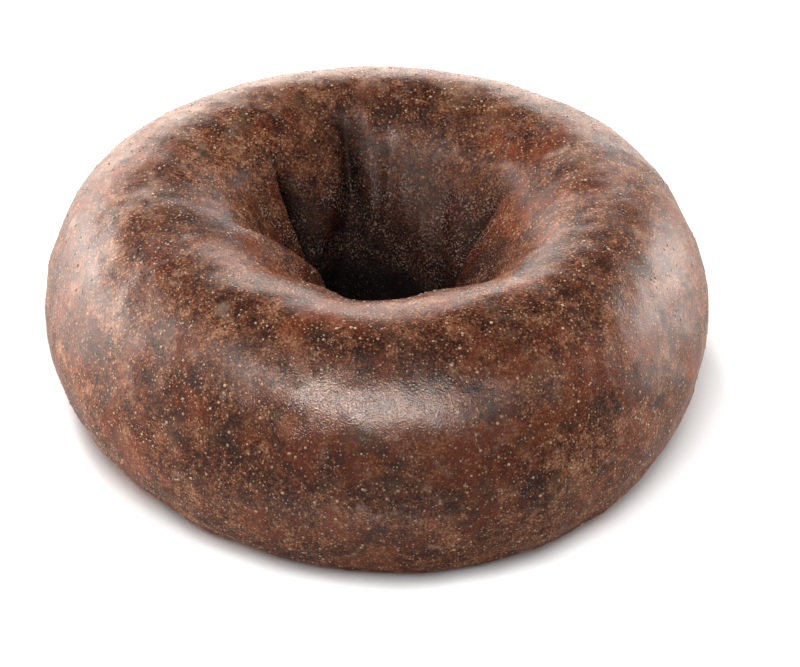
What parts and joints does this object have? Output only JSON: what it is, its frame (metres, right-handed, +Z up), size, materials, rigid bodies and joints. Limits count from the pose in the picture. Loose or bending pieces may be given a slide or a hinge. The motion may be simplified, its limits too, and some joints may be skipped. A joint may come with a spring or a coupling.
{
  "type": "pumpernickel bagel",
  "caption": "Plump ring of dark brown baked dough, a bagel shaped like an unfilled chocolate doughnut, with a pinched and folded centre hole and a flat base.",
  "frame": {"origin": "on the surface that the bagel rests on, below the middle of its box", "axes": "+Z up out of the flat base, +X to the right and +Y away from the viewer, who stands at the front on the -Y side"},
  "size_m": [0.1094, 0.107, 0.0437],
  "materials": {
    "baked_crust": "satin dark brown baked crust, mottled, with fine pale blisters"
  },
  "bodies": {
    "root": {"bagel": "baked_crust"}
  },
  "joints": []
}
